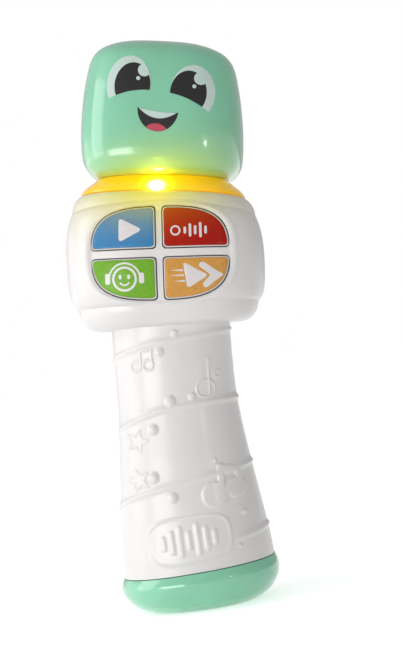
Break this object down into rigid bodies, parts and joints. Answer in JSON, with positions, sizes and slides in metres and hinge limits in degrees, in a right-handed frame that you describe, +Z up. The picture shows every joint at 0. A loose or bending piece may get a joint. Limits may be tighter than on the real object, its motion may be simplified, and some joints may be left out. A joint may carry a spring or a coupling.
{
  "type": "toy microphone",
  "caption": "Hand-held toy microphone that stands on its base, with a cube-like head, a lit collar, a panel of sound buttons and a flared handle.",
  "frame": {"origin": "centre of the flat face under the base", "axes": "+Z up from the base towards the head, -Y the front with the face and the buttons, +X the right-hand side seen from the front"},
  "size_m": [0.0803, 0.0633, 0.2299],
  "materials": {
    "green_plastic": "glossy injection-moulded plastic, mint green",
    "white_plastic": "satin white injection-moulded plastic",
    "amber_plastic": "translucent yellow plastic, lit from inside",
    "lamp_plastic": "clear yellow lamp lens",
    "blue_label": "blue label with a fine sparkle",
    "red_label": "red label with a fine sparkle",
    "green_label": "green label with a fine sparkle",
    "orange_label": "orange label with a fine sparkle",
    "black_plastic": "black moulded plastic",
    "board": "green solder mask",
    "silicone": "grey silicone rubber",
    "steel": "zinc-plated steel",
    "nickel": "nickel-plated spring steel",
    "paper_cone": "pressed paper",
    "cell_film": "printed film over a steel can",
    "wire_sleeve": "red PVC sleeve"
  },
  "bodies": {
    "casing": {"rear_shell": "green_plastic", "base_cap": "green_plastic", "head_front_shell": "green_plastic", "head_rear_shell": "green_plastic", "front_shell": "white_plastic", "battery_tray": "white_plastic", "light_ring": "amber_plastic", "lamp_1": "lamp_plastic", "lamp_2": "lamp_plastic", "lamp_3": "lamp_plastic", "neck_coupler": "black_plastic", "sound_chip": "black_plastic", "lamp_board": "board", "main_board": "board", "button_sheet": "silicone", "capsule_boot": "silicone", "speaker_magnet": "steel", "speaker_basket": "steel", "capsule": "steel", "slide_switch": "steel", "case_screw_handle": "steel", "case_screw_lower_left": "steel", "case_screw_lower_right": "steel", "case_screw_upper_left": "steel", "case_screw_upper_right": "steel", "head_screw_left": "steel", "head_screw_right": "steel", "board_screw_left": "steel", "board_screw_right": "steel", "contact_lower_bridge": "nickel", "contact_lower_tab": "nickel", "contact_upper_bridge": "nickel", "contact_upper_tab": "nickel", "battery_spring_1": "nickel", "battery_spring_2": "nickel", "battery_spring_3": "nickel", "speaker_cone": "paper_cone", "battery_1": "cell_film", "battery_2": "cell_film", "battery_3": "cell_film", "battery_wire": "wire_sleeve", "speaker_wire": "wire_sleeve", "capsule_wire": "wire_sleeve", "lamp_wire": "wire_sleeve"},
    "play_key": {"play_button": "white_plastic", "play_label": "blue_label"},
    "record_key": {"record_button": "white_plastic", "record_label": "red_label"},
    "voice_key": {"voice_button": "white_plastic", "voice_label": "green_label"},
    "forward_key": {"forward_button": "white_plastic", "forward_label": "orange_label"},
    "power_knob": {"power_slider": "black_plastic"},
    "door": {"battery_door": "green_plastic", "door_screw": "steel"}
  },
  "joints": [
    {"name": "play_press", "type": "slide", "parent": "casing", "child": "play_key", "axis": [0, 1, 0], "range_m": [0, 0.0012], "stiffness_N_per_m": 900, "springref_m": -0.0006},
    {"name": "record_press", "type": "slide", "parent": "casing", "child": "record_key", "axis": [0, 1, 0], "range_m": [0, 0.0012], "stiffness_N_per_m": 900, "springref_m": -0.0006},
    {"name": "voice_press", "type": "slide", "parent": "casing", "child": "voice_key", "axis": [0, 1, 0], "range_m": [0, 0.0012], "stiffness_N_per_m": 900, "springref_m": -0.0006},
    {"name": "forward_press", "type": "slide", "parent": "casing", "child": "forward_key", "axis": [0, 1, 0], "range_m": [0, 0.0012], "stiffness_N_per_m": 900, "springref_m": -0.0006},
    {"name": "power_slide", "type": "slide", "parent": "casing", "child": "power_knob", "axis": [0.0559, 0, 0.9984], "range_m": [0, 0.0045]},
    {"name": "door_lift", "type": "slide", "parent": "casing", "child": "door", "axis": [0, 1, 0], "range_m": [0, 0.03]}
  ]
}
